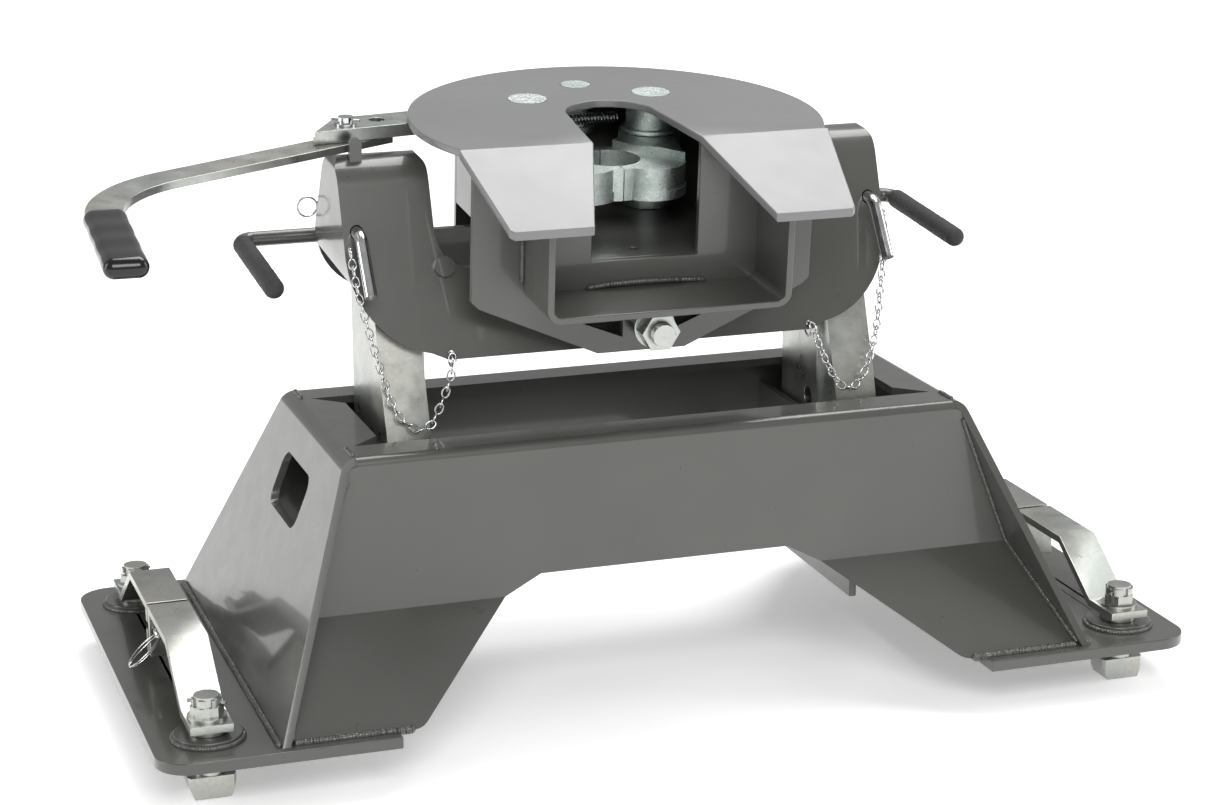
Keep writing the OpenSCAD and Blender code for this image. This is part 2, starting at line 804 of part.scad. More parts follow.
module head_rear_hanger() {
    color(PAINT) at_rest() difference() {
        along_y(rear_hanger_y - sheet_t, rear_hanger_y) intersection() {
            hanger_face();
            translate([-side_x, 200]) square([2 * side_x, skid_z - skid_t - 200]);
        }
        along_y(rear_hanger_y - 10, rear_hanger_y + 1) {
            translate([-side_x - 1, 418]) square([side_x + 9, 40]);
            translate([0, roll_z]) circle(roll_r + RUN);
        }
        under_skid_rim();
    }
}

// Outside of the skid plate's round back, which the rear hanger stays within.
module under_skid_rim() {
    along_z(200, skid_z + 1) difference() {
        translate([-300, 0]) square([600, 300]);
        translate([0, skid_c_y]) circle(skid_r - 4);
    }
}

module head_side_plates() {
    y0 = hanger_y + sheet_t;
    y1 = rear_hanger_y - sheet_t;
    color(PAINT) at_rest() {
        along_x(side_x - sheet_t, side_x)
            polygon([[y0, floor_z - sheet_t], [y1, floor_z - sheet_t], [y1, skid_z - skid_t],
                     [y0, skid_z - skid_t]]);
        along_x(-side_x, -side_x + sheet_t)
            polygon([[y0, floor_z - sheet_t], [y1, floor_z - sheet_t], [y1, 418.5], [60, 418.5],
                     [54, skid_z - skid_t], [y0, skid_z - skid_t]]);
    }
}

module head_floor() {
    color(PAINT) at_rest() difference() {
        translate([-side_x + sheet_t, hanger_y + sheet_t, floor_z - sheet_t])
            cube([2 * (side_x - sheet_t), rear_hanger_y - hanger_y - 2 * sheet_t, sheet_t]);
        translate([0, -33.8, 300]) cylinder(r = 4, h = 100);
        both_sides() translate([jaw_pin_x, jaw_pin_y, 300]) cylinder(r = jaw_pin_r, h = 100);
    }
}

bolt_front_y = -115.6;
nut_y = -108;
module centre_bolt() {
    color(ZINC) at_rest() translate([0, 0, roll_z]) {
        rod_y(roll_r, bolt_front_y, rear_hanger_y + 1);
        translate([0, rear_hanger_y + 12, 0]) rotate([90, 0, 0]) cylinder(r = 16.5, h = 12, $fn = 6);
    }
}

// Nut, washers and spacer sleeve in front of the front hanger, as separate pieces.
module centre_nut() {
    color(ZINC) at_rest() translate([0, 0, roll_z]) {
        translate([0, nut_y + 16, 0]) rotate([90, 0, 0]) difference() {
            cylinder(r = 16.5, h = 16, $fn = 6);
            translate([0, 0, -1]) cylinder(r = roll_r, h = 18);
        }
        translate([0, nut_y + 20, 0]) rotate([90, 0, 0]) ring(17.5, roll_r, 4);
        translate([0, hanger_y, 0]) rotate([90, 0, 0]) ring(15.5, roll_r, hanger_y - nut_y - 20);
    }
}

module jaw_pins() {
    color(ZINC) at_rest() both_sides() translate([jaw_pin_x, jaw_pin_y, floor_z - sheet_t])
        cylinder(r = jaw_pin_r, h = skid_z - floor_z + sheet_t);
}

// Collars that hold the jaws at their height on the pins.
module jaw_spacers() {
    hub_r = 21;
    color(ZINC) at_rest() both_sides() translate([jaw_pin_x, jaw_pin_y, 0]) {
        translate([0, 0, floor_z]) ring(hub_r, jaw_pin_r, jaw_bottom_z - END_PLAY - floor_z);
        translate([0, 0, arm_top_z + END_PLAY]) ring(hub_r + 4, jaw_pin_r, 4);
        translate([0, 0, arm_top_z + END_PLAY + 4])
            ring(hub_r, jaw_pin_r, skid_z - skid_t - arm_top_z - END_PLAY - 4);
    }
}

module handle_pivot_pin() {
    color(ZINC) at_rest() translate([0, handle_pin_y, 0]) {
        translate([0, 0, 404]) cylinder(r = handle_pin_r, h = skid_z - 404);
        translate([0, 0, 404]) cylinder(r = 17, h = 6);
    }
}

// ---- jaws ----

module jaw_plan() {
    lobe = [30, 18];
    wall_r = 37;
    intersection() {
        union() {
            translate(lobe) circle(31);
            translate([0, kingpin_y]) circle(wall_r);
            arm_plan();
        }
        translate([END_PLAY, -60]) square([200, 300]);
    }
}

// The raised arm that runs from the pin's eye along the outside of the jaw.
module arm_plan() {
    translate([jaw_pin_x, jaw_pin_y]) circle(27);
    polygon([[30, 80], [14, 66], [24, 46], [46, 32], [60, 12], [61, 22], [64, 46], [82, 84]]);
}

module jaw() {
    color(ZINC) at_rest() difference() {
        union() {
            along_z(jaw_bottom_z, jaw_top_z) jaw_plan();
            along_z(jaw_bottom_z + 1, arm_top_z) arm_plan();
            along_z(jaw_bottom_z, jaw_bottom_z + 8) translate([30, 18]) intersection() {
                circle(32);
                translate([END_PLAY - 30, -60]) square([100, 100]);
            }
        }
        translate([0, kingpin_y, 300]) cylinder(r = kingpin_r, h = 200);
        translate([jaw_pin_x, jaw_pin_y, 300]) cylinder(r = jaw_pin_r + RUN, h = 200);
    }
}
module jaw_right() { jaw(); }
module jaw_left() { mirror([1, 0, 0]) jaw(); }

spring_y = 106.6;
spring_z = 419.6;
spring_x0 = -24;
spring_x1 = 32;
// Return spring between the jaws, drawn as a sleeve of its outer size.
module jaw_spring() {
    color("darkgray") at_rest() translate([0, spring_y, spring_z]) difference() {
        rod_x(5.2, spring_x0, spring_x1);
        rod_x(3.4, spring_x0 - 1, spring_x1 + 1);
    }
}

// ---- jaw handle ----

clevis = [-219, 64];
clevis_r = 6.3;
spare = [-190, 75];
bracket_plan = [[-249.4, 45.5], [-118, 63.7], [-104, 80], [-82, 110], [-8, 110], [0, 148], [-60, 147],
                [-104, 122], [-156, 97], [-223.3, 87.5]];
// Channel that turns on the pivot pin beneath the skid plate and carries the bar.
module handle_bracket() {
    hub_r = 20.5;
    hub_h = 11;
    inner_z = bracket_z - bracket_t;
    lip_z = bar_top_z + END_PLAY;
    color(ZINC) at_rest() difference() {
        union() {
            along_z(inner_z, bracket_z) polygon(bracket_plan);
            along_z(lip_z, inner_z) polygon(sheet_outline([bracket_plan[0], bracket_plan[1]], 4));
            translate([0, handle_pin_y, bracket_z - hub_h]) cylinder(r = hub_r, h = hub_h);
        }
        translate([0, handle_pin_y, bracket_z - 50]) cylinder(r = handle_pin_r + RUN, h = 100);
        for (p = [clevis, spare])
            translate([p[0], p[1], bracket_z - 50]) cylinder(r = clevis_r + 0.1, h = 100);
    }
}

// Plan route of the flat bar: out of the channel to the left, then round to the front.
bar_route = concat([[-185, 76.3]], arc([-330.3, -119.8], 115, 115.4, 174.3, 12), [[-446, -121]]);
module bar_solid() {
    last = len(bar_route) - 1;
    along_z(bar_top_z - bar_t, bar_top_z) polygon(concat(
        [for (i = [0 : last]) mitre(bar_route, i, bar_w / 2)],
        [for (i = [last : -1 : 0]) mitre(bar_route, i, -bar_w / 2)]
    ));
}

module handle_bar() {
    color(ZINC) at_rest() difference() {
        bar_solid();
        translate([clevis[0], clevis[1], bar_top_z - 50]) cylinder(r = clevis_r + 0.1, h = 100);
    }
}

// Moulded grip dipped over the bar's end.
module handle_grip() {
    grip_r = 8;
    half_x = 8.5;
    ends = [[-444.5, -113], [-449, -231]];
    color(RUBBER) at_rest() difference() {
        hull() for (p = ends, x = [-half_x, half_x])
            translate([p[0] + x, p[1], bar_top_z - bar_t / 2]) sphere(grip_r, $fn = HULL_FN);
        bar_solid();
    }
}

// Headed pin from below through the bar and the channel.
module handle_clevis_pin() {
    head_h = 2.4;
    color(BRIGHT) at_rest() translate([clevis[0], clevis[1], bar_top_z - bar_t - head_h]) {
        cylinder(r = clevis_r, h = bracket_z + 7 - bar_top_z + bar_t + head_h);
        cylinder(r = clevis_r + 2.5, h = head_h);
    }
}

// Washer and split pin above the channel, as separate pieces.
module handle_cotter() {
    washer_h = 2;
    color(BRIGHT) at_rest() translate([clevis[0], clevis[1], bracket_z]) {
        ring(clevis_r + 3, clevis_r, washer_h);
        difference() {
            translate([0, 0, washer_h + 2.2]) rotate([0, 0, 150]) rod_x(1.2, -12, 12);
            cylinder(r = clevis_r, h = 20, center = true);
        }
    }
}

// Round-topped tab on the left cap that the bar lies behind when the jaws are shut.
module handle_stop() {
    stop_w = 10;
    stop_x = -218;
    stop_top_z = 434;
    stop_y = 33.5;
    color(PAINT) at_rest() difference() {
        along_y(stop_y, stop_y + sheet_t) {
            translate([stop_x, stop_top_z - stop_w / 2]) circle(stop_w / 2);
            translate([stop_x - stop_w / 2, pivot_z]) square([stop_w, stop_top_z - stop_w / 2 - pivot_z]);
        }
        translate([0, pivot_y, pivot_z]) rod_x(cap_r, -300, 0);
    }
}

base_front_panel();
base_rear_panel();
base_end_plate_left();
base_end_plate_right();
foot_plate_left();
foot_plate_right();
foot_discs();
post_sockets();
post_left();
post_right();
post_bolts();
post_nuts();
pivot_shafts();
pivot_bushes();
lock_stud_front_left();
lock_stud_rear_left();
lock_stud_front_right();
lock_stud_rear_right();
lock_handle_front_left();
lock_handle_rear_left();
lock_handle_front_right();
lock_handle_rear_right();
lock_nut_front_left();
lock_nut_rear_left();
lock_nut_front_right();
lock_nut_rear_right();
lock_clip_left();
lock_clip_right();
saddle_front_plate();
saddle_rear_plate();
saddle_end_plate_left();
saddle_end_plate_right();
carry_handles();
carry_grips();
saddle_pins();
saddle_pin_clips();
chain_left();
chain_right();
saddle_stop_bolt();
skid_plate();
head_front_channel();
head_front_hanger();
head_rear_hanger();
head_side_plates();
head_floor();
centre_bolt();
centre_nut();
jaw_pins();
jaw_spacers();
handle_pivot_pin();
jaw_left();
jaw_right();
jaw_spring();
handle_bracket();
handle_bar();
handle_grip();
handle_clevis_pin();
handle_cotter();
handle_stop();
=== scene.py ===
import json
import math
import random

import bpy
from mathutils import Matrix, Vector


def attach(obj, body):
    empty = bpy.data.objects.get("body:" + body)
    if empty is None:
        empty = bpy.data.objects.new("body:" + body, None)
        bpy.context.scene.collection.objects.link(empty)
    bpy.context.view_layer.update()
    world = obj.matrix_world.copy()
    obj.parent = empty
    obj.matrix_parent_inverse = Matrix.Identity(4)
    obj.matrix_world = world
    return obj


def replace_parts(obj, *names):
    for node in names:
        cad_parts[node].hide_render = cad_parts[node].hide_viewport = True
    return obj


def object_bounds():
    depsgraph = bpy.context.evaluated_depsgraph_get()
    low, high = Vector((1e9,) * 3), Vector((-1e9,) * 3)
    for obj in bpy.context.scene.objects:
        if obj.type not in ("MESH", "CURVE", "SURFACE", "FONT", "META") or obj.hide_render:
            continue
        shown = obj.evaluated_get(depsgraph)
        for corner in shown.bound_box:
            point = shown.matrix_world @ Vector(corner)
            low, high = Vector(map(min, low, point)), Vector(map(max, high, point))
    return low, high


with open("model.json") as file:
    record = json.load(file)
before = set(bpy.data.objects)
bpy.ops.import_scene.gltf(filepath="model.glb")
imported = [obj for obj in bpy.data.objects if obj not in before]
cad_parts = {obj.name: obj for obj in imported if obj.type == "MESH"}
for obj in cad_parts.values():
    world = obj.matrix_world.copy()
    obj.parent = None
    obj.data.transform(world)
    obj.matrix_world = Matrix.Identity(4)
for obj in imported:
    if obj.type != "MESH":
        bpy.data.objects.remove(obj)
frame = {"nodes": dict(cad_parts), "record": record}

cad_low, cad_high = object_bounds()
NODES = frame["nodes"]
MM = 0.001

# ---- camera ----

CAMERA_PLACE = Vector((-0.742, -2.1447, 0.827))
CAMERA_YAW, CAMERA_PITCH, CAMERA_ROLL = -18.57, -15.48, -0.15
cam_data = bpy.data.cameras.new("camera")
cam_data.sensor_width = 36.0
cam_data.lens = 82.3
cam_data.shift_x = 0.0079
cam_data.clip_end = 30.0
camera = bpy.data.objects.new("camera", cam_data)
camera.matrix_world = (Matrix.Translation(CAMERA_PLACE)
                       @ Matrix.Rotation(math.radians(CAMERA_YAW), 4, "Z")
                       @ Matrix.Rotation(math.radians(90 + CAMERA_PITCH), 4, "X")
                       @ Matrix.Rotation(math.radians(CAMERA_ROLL), 4, "Z"))
bpy.context.scene.collection.objects.link(camera)
bpy.context.scene.camera = camera

# ---- the head's and saddle's frame: drawn level, laid nose-down about the pitch pivot ----

PIVOT = Vector((0.0, 0.046, 0.385))
NOSE_DOWN = math.radians(5.16)
REST = Matrix.Translation(PIVOT) @ Matrix.Rotation(NOSE_DOWN, 4, "X") @ Matrix.Translation(-PIVOT)


def level(x, y, z):
    """A point of the level head or saddle, in mm, as it lies at rest, in metres."""
    return REST @ (Vector((x, y, z)) * MM)


def at(*points):
    """Points in mm, in metres."""
    return [Vector(p) * MM for p in points]


# ---- materials ----

class Nodes:
    """Short calls that build one material's node tree."""

    def __init__(self, name):
        self.mat = bpy.data.materials.new(name)
        self.mat.use_nodes = True
        self.tree = self.mat.node_tree
        self.shader = self.tree.nodes["Principled BSDF"]
        self.coords = self.tree.nodes.new("ShaderNodeTexCoord").outputs["Object"]

    def put(self, kind, **values):
        made = self.tree.nodes.new(kind)
        for key, value in values.items():
            if hasattr(value, "is_output"):
                self.tree.links.new(value, made.inputs[key])
            elif key in made.inputs:
                made.inputs[key].default_value = value
            else:
                setattr(made, key, value)
        return made

    def stretch(self, scale):
        node = self.tree.nodes.new("ShaderNodeMapping")
        self.tree.links.new(self.coords, node.inputs["Vector"])
        node.inputs["Scale"].default_value = scale
        return node.outputs["Vector"]

    def noise(self, scale, detail=3.0, rough=0.55, vector=None):
        return self.put("ShaderNodeTexNoise", Vector=vector or self.coords, Scale=scale, Detail=detail,
                        Roughness=rough).outputs["Fac"]

    def remap(self, value, low, high, to_low, to_high):
        node = self.put("ShaderNodeMapRange", Value=value)
        for key, number in (("From Min", low), ("From Max", high), ("To Min", to_low), ("To Max", to_high)):
            node.inputs[key].default_value = number
        return node.outputs["Result"]

    def ramp(self, value, *stops):
        node = self.put("ShaderNodeValToRGB", Fac=value)
        elements = node.color_ramp.elements
        while len(elements) < len(stops):
            elements.new(0.5)
        for element, (place, color) in zip(elements, stops):
            element.position = place
            element.color = (*color, 1.0)
        return node.outputs["Color"]

    def mix(self, factor, a, b):
        node = self.tree.nodes.new("ShaderNodeMix")
        node.data_type = "RGBA"
        for socket, value in ((node.inputs["Factor"], factor), (node.inputs[6], a), (node.inputs[7], b)):
            if hasattr(value, "is_output"):
                self.tree.links.new(value, socket)
            else:
                socket.default_value = value if isinstance(value, float) else (*value, 1.0)
        return node.outputs[2]

    def bump(self, *layers):
        """Stacks (height, strength, distance in metres) layers of bump."""
        normal = None
        for height, strength, distance in layers:
            node = self.put("ShaderNodeBump", Height=height, Strength=strength, Distance=distance)
            if normal:
                self.tree.links.new(normal, node.inputs["Normal"])
            normal = node.outputs["Normal"]
        self.tree.links.new(normal, self.shader.inputs["Normal"])

    def set(self, **values):
        """Sets the shader's sockets; an underscore in a name stands for a space."""
        for key, value in values.items():
            socket = self.shader.inputs[key.replace("_", " ")]
            if hasattr(value, "is_output"):
                self.tree.links.new(value, socket)
            else:
                socket.default_value = (*value, 1.0) if isinstance(value, tuple) else value
        return self.mat


def paint(name, color, roughness, coat, peel):
    """Baked enamel over steel: a slow drift in tone, faint orange peel and a worn sheen."""
    m = Nodes(name)
    lighter = tuple(c * 1.1 for c in color)
    darker = tuple(c * 0.92 for c in color)
    tone = m.ramp(m.noise(6.0, 4.0), (0.3, darker), (0.7, lighter))
    dust = m.noise(45.0, 6.0, 0.65)
    m.bump((m.noise(160.0, 1.5), peel, 0.0005))
    return m.set(Base_Color=tone, Roughness=m.remap(dust, 0.3, 0.75, roughness - 0.03, roughness + 0.07),
                 Coat_Weight=coat, Coat_Roughness=0.07, Specular_IOR_Level=0.45)


def zinc(name, tints, roughness, grain, grain_scale, depth):
    """Zinc plating: drifting tints, small crystal flakes and faint draw lines."""
    m = Nodes(name)
    tone = m.ramp(m.noise(9.0, 5.0, 0.6), (0.3, tints[0]), (0.5, tints[1]), (0.7, tints[2]))
    spangle = m.put("ShaderNodeTexVoronoi", Vector=m.coords, Scale=grain_scale).outputs["Color"]
    flakes = m.put("ShaderNodeSeparateColor", Color=spangle).outputs["Red"]
    tone = m.mix(m.remap(flakes, 0, 1, 0.0, grain), tone, tuple(c * 0.72 for c in tints[1]))
    streak = m.noise(1.0, 5.0, 0.6, m.stretch((420.0, 40.0, 40.0)))
    m.bump((m.noise(480.0, 4.0, 0.7), depth * 1.6, 0.0003), (streak, depth, 0.0001))
    return m.set(Base_Color=tone, Metallic=1.0,
                 Roughness=m.remap(m.noise(50.0, 4.0, 0.6), 0.3, 0.7, roughness - 0.05, roughness + 0.09))


def cast():
    """Rough zinc-coated casting with open pits."""
    m = Nodes("cast_zinc")
    pits = m.noise(650.0, 5.0, 0.7)
    tone = m.ramp(m.noise(34.0, 6.0, 0.65), (0.3, (0.42, 0.49, 0.46)), (0.5, (0.62, 0.68, 0.65)),
                  (0.72, (0.82, 0.85, 0.82)))
    m.bump((pits, 0.8, 0.0008), (m.noise(190.0, 3.0), 0.4, 0.001))
    return m.set(Base_Color=tone, Metallic=1.0, Roughness=m.remap(pits, 0.3, 0.7, 0.22, 0.42))


def metal(name, color, roughness, scratch):
    """Bright bare metal with smears and fine scratches."""
    m = Nodes(name)
    smear = m.noise(120.0, 5.0, 0.6)
    m.bump((m.noise(1.0, 4.0, 0.6, m.stretch((900.0, 900.0, 90.0))), scratch, 0.0001))
    return m.set(Base_Color=m.ramp(smear, (0.3, tuple(c * 0.86 for c in color)), (0.7, color)), Metallic=1.0,
                 Roughness=m.remap(smear, 0.3, 0.7, roughness * 0.7, roughness * 1.4))


def rubber(name, color, roughness, scale, depth):
    """Foam, rubber or vinyl: fine pores over a slow unevenness."""
    m = Nodes(name)
    pores = m.noise(scale, 4.0, 0.65)
    m.bump((pores, depth, 0.0008), (m.noise(scale * 0.2, 2.0), depth * 0.5, 0.0012))
    return m.set(Base_Color=m.ramp(pores, (0.35, tuple(c * 0.6 for c in color)), (0.75, color)),
                 Roughness=m.remap(m.noise(scale * 0.3, 3.0), 0.3, 0.7, roughness - 0.05, roughness + 0.08))


MATERIALS = {
    "grey_paint": paint("grey_paint", (0.062, 0.062, 0.056), 0.3, 0.6, 0.04),
    "skid_paint": paint("skid_paint", (0.15, 0.153, 0.151), 0.34, 0.5, 0.04),
    "zinc_plate": zinc("zinc_plate", ((0.38, 0.42, 0.4), (0.48, 0.49, 0.46), (0.56, 0.54, 0.47)),
                       0.3, 0.35, 420.0, 0.12),
    "cast_zinc": cast(),
    "bright_wire": metal("bright_wire", (0.62, 0.63, 0.63), 0.16, 0.1),
    "spring_steel": metal("spring_steel", (0.34, 0.34, 0.35), 0.28, 0.2),
    "black_bushing": rubber("black_bushing", (0.02, 0.02, 0.02), 0.5, 500.0, 0.2),
    "foam_grip": rubber("foam_grip", (0.03, 0.03, 0.032), 0.68, 900.0, 0.6),
    "vinyl_grip": rubber("vinyl_grip", (0.004, 0.004, 0.004), 0.13, 60.0, 0.02),
}
SLOT_OF = {row["node"]: row["material_slot"] for row in frame["record"]["subparts"]}


def dress(obj, slot):
    """Gives a piece the one material of its slot."""
    obj.data.materials.clear()
    obj.data.materials.append(MATERIALS[slot])


# Width of the rounded edges that a cut or folded sheet, a casting or a turned piece has.
EDGE_MM = {"grey_paint": 0.9, "skid_paint": 1.0, "zinc_plate": 0.5, "cast_zinc": 1.2}
NO_EDGE = ("saddle_pins", "handle_grip", "carry_grips", "pivot_bushes")
SHARP_ANGLE = math.radians(35)
MERGE_DISTANCE = 1e-5
for name, node in NODES.items():
    slot = SLOT_OF[name]
    dress(node, slot)
    if slot in EDGE_MM and name not in NO_EDGE:
        weld_points = node.modifiers.new("weld", "WELD")
        weld_points.merge_threshold = MERGE_DISTANCE
        edge = node.modifiers.new("edge", "BEVEL")
        edge.width = EDGE_MM[slot] * MM
        edge.segments = 2
        edge.limit_method = "ANGLE"
        edge.angle_limit = SHARP_ANGLE
        edge.use_clamp_overlap = True
        even = node.modifiers.new("even_shading", "WEIGHTED_NORMAL")
        even.mode = "FACE_AREA"
        even.weight = 100


# ---- mesh helpers ----

def mesh_piece(name, verts, faces, body, slot):
    """A new smooth-shaded piece from points in metres, riding on a body."""
    data = bpy.data.meshes.new(name)
    data.from_pydata([tuple(v) for v in verts], [], faces)
    data.validate()
    for polygon in data.polygons:
        polygon.use_smooth = True
    obj = bpy.data.objects.new(name, data)
    bpy.context.scene.collection.objects.link(obj)
    dress(obj, slot)
    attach(obj, body)
    return obj


def frames_along(path, closed=False):
    """Tangent, side and top at each point of a path, carried along without twist."""
    count = len(path)
    frames = []
    side = None
    for i in range(count):
        after = path[(i + 1) % count] if closed else path[min(i + 1, count - 1)]
        before = path[i - 1] if closed else path[max(i - 1, 0)]
        tangent = (after - before).normalized()
        if side is None:
            seed = Vector((0, 0, 1)) if abs(tangent.z) < 0.9 else Vector((0, 1, 0))
            side = tangent.cross(seed).normalized()
        side = (side - tangent * side.dot(tangent)).normalized()
        frames.append((tangent, side, tangent.cross(side)))
    return frames


def skin(count, sides, closed=False):
    """Faces over a row of rings, with an end cap at each end unless the row is closed."""
    faces = []
    for i in range(count if closed else count - 1):
        j = (i + 1) % count
        for k in range(sides):
            n = (k + 1) % sides
            faces.append((i * sides + k, i * sides + n, j * sides + n, j * sides + k))
    if not closed:
        faces.append(tuple(reversed(range(sides))))
        faces.append(tuple((count - 1) * sides + k for k in range(sides)))
    return faces


def tube(path, radii, sides, closed=False):
    """Points and faces of a round tube whose radius may change along its path."""
    frames = frames_along(path, closed)
    if isinstance(radii, float):
        radii = [radii] * len(path)
    verts = []
    for point, (_, side, top), radius in zip(path, frames, radii):
        for k in range(sides):
            turn = 2 * math.pi * k / sides
            verts.append(point + (side * math.cos(turn) + top * math.sin(turn)) * radius)
    return verts, skin(len(path), sides, closed)


def join(parts):
    """One list of points and faces from several."""
    verts, faces = [], []
    for more_verts, more_faces in parts:
        base = len(verts)
        verts += more_verts
        faces += [tuple(base + i for i in face) for face in more_faces]
    return verts, faces


def resample(path, step):
    """Points at an even step along a polyline."""
    out = [path[0].copy()]
    left = step
    for a, b in zip(path, path[1:]):
        length = (b - a).length
        while left <= length:
            out.append(a.lerp(b, left / length))
            left += step
        left -= length
    return out


def smooth_route(points, steps):
    """The Catmull-Rom curve through a list of points."""
    out = []
    last = len(points) - 1
    for i in range(last):
        a, b = points[max(0, i - 1)], points[i]
        c, d = points[i + 1], points[min(last, i + 2)]
        for s in range(steps):
            t = s / steps
            out.append(0.5 * ((2 * b) + (c - a) * t + (2 * a - 5 * b + 4 * c - d) * t * t
                              + (3 * b - a - 3 * c + d) * t ** 3))
    out.append(points[last])
    return out


# ---- jack chains ----

LEFT_ROUTE = [(-235, -12, 350), (-231, -20, 316), (-224, -27, 281), (-215, -35, 244), (-206, -43.5, 218),
              (-192, -48, 206), (-180, -48, 210), (-170, -46.5, 227), (-162, -45, 247), (-158, -36.8, 262.5)]
RIGHT_ROUTE = [(233, -12, 350), (230, -20, 315), (226, -25, 285), (221, -31, 256), (211, -40, 231),
               (199, -46, 212), (186, -48, 208), (175, -47, 219), (164, -45, 241), (158, -36.8, 262.5)]
CHAIN_WIRE = 0.75 * MM
LINK_PITCH = 14.6 * MM
LINK_HALF = 8.9 * MM
LINK_WIDE = 3.0 * MM


def chain_link(centre, frame_here):
    """One figure-of-eight link: two loops set square to each other."""
    along, side, top = frame_here
    path = []
    steps = 14
    for sign, across in ((1, side), (-1, top)):
        for i in range(steps):
            turn = 2 * math.pi * i / steps
            path.append(centre + along * sign * LINK_HALF * (1 - math.cos(turn)) / 2
                        + across * LINK_WIDE * math.sin(turn))
    return tube(path, CHAIN_WIRE, 8, closed=True)


def chain(name, route, node):
    """A chain of whole links along a route, standing for a CAD node."""
    path = smooth_route(at(*route), 8)
    length = sum((b - a).length for a, b in zip(path, path[1:]))
    count = round(length / LINK_PITCH)
    fine = resample(path, length / count / 2 - 1e-7)
    frames = frames_along(fine)
    links = [chain_link(fine[2 * i + 1], frames[2 * i + 1]) for i in range(count)]
    obj = mesh_piece(name, *join(links), "saddle", "bright_wire")
    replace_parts(obj, node)


chain("chain_left_links", LEFT_ROUTE, "chain_left")
chain("chain_right_links", RIGHT_ROUTE, "chain_right")


END_RING_X, END_RING_Y, END_RING_Z = 157.5, -40.8, 264.3
END_RING_DEEP, END_RING_TALL = 6.9, 5.6


def hole_ring(side):
    """Wire ring through the hole at the foot of the saddle's front plate, round its bottom edge."""
    path = []
    steps = 24
    for i in range(steps):
        turn = 2 * math.pi * i / steps
        path.append(level(side * END_RING_X, END_RING_Y + END_RING_DEEP * math.cos(turn),
                          END_RING_Z + END_RING_TALL * math.sin(turn)))
    return tube(path, 0.9 * MM, 8, closed=True)


mesh_piece("chain_end_rings", *join([hole_ring(side) for side in (-1, 1)]), "saddle", "bright_wire")

# ---- wire clips of the locks ----

CLIP_X, CLIP_Z = 405, 45
CLIP_FRONT, CLIP_REAR, CLIP_PIN_R = -26, 9, 2.3
LOOP_HALF_LONG, LOOP_HALF_WIDE, LOOP_WIRE_R = 18.0, 7.0, 0.75


def lock_clip(side):
    """A pin through both end tabs, with two long loops of wire hanging off its front end."""
    x, z = side * CLIP_X, CLIP_Z
    pin = tube(at((x, CLIP_FRONT, z), (x, CLIP_REAR, z)), CLIP_PIN_R * MM, 16)
    hang = Vector((side * 0.76, -0.34, -0.55)).normalized()
    loops = [pin]
    for turn in (-0.2, 0.25):
        across = Vector((side * 0.3, 0.95, turn)).normalized()
        centre = Vector((x, -23.5 + turn * 3, z)) + hang * 16.5
        path = []
        steps = 36
        for i in range(steps):
            angle = 2 * math.pi * i / steps
            path.append((centre + hang * LOOP_HALF_LONG * math.cos(angle)
                         + across * LOOP_HALF_WIDE * math.sin(angle)) * MM)
        loops.append(tube(path, LOOP_WIRE_R * MM, 8, closed=True))
    return join(loops)


for side, label in ((-1, "left"), (1, "right")):
    clip = mesh_piece("wire_clip_" + label, *lock_clip(side), "lock_front_" + label, "bright_wire")
    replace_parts(clip, "lock_clip_" + label)

# ---- jaw spring, threads and grips ----

def coil(centre, radius, low, high, pitch, place):
    """Helix from low to high along an axis; place maps (along, across, up) in mm to a point."""
    steps = 14
    count = int((high - low) / pitch * steps)
    path = []
    for i in range(count + 1):
        turn = 2 * math.pi * i / steps
        path.append(place(low + pitch * i / steps, centre[0] + radius * math.cos(turn),
                          centre[1] + radius * math.sin(turn)))
    return path


SPRING_Y, SPRING_Z, SPRING_COIL_R, SPRING_WIRE_R = 106.6, 419.6, 4.2, 0.9
SPRING_LEFT, SPRING_RIGHT, SPRING_PITCH = -23.0, 31.0, 2.9
spring_path = coil((SPRING_Y, SPRING_Z), SPRING_COIL_R, SPRING_LEFT, SPRING_RIGHT, SPRING_PITCH, level)
spring = mesh_piece("jaw_spring_coil", *tube(spring_path, SPRING_WIRE_R * MM, 8), "head", "bright_wire")
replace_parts(spring, "jaw_spring")

BOLT_Z, THREAD_R, THREAD_PITCH = 295.8, 9.5, 1.7
THREAD_FRONT, THREAD_REAR = -115.2, -108.4
thread_path = coil((0.0, BOLT_Z), THREAD_R, THREAD_FRONT, THREAD_REAR, THREAD_PITCH,
                   lambda y, x, z: level(x, y, z))
mesh_piece("centre_bolt_thread", *tube(thread_path, 0.5 * MM, 8), "head", "zinc_plate")


FOAM_X, FOAM_Z = 299, 330


def foam_grip(side):
    """Foam sleeve over a carry handle, with a round closed end towards the front."""
    rng = random.Random(31 + side)
    tip, tail, radius = -21.0, 101.0, 8.3
    places = []
    for turn in map(math.radians, range(6, 90, 7)):
        places.append((tip - radius * math.cos(turn), radius * math.sin(turn)))
    steps = 40
    places += [(tip + (tail - tip) * i / steps, radius + rng.uniform(-0.12, 0.12)) for i in range(steps)]
    places += [(tail, radius - 0.3), (tail + 0.6, radius - 1.2)]
    return tube([level(side * FOAM_X, y, FOAM_Z) for y, _ in places], [r * MM for _, r in places], 32)


grips = mesh_piece("foam_grips", *join([foam_grip(side) for side in (-1, 1)]), "saddle", "foam_grip")
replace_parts(grips, "carry_grips")


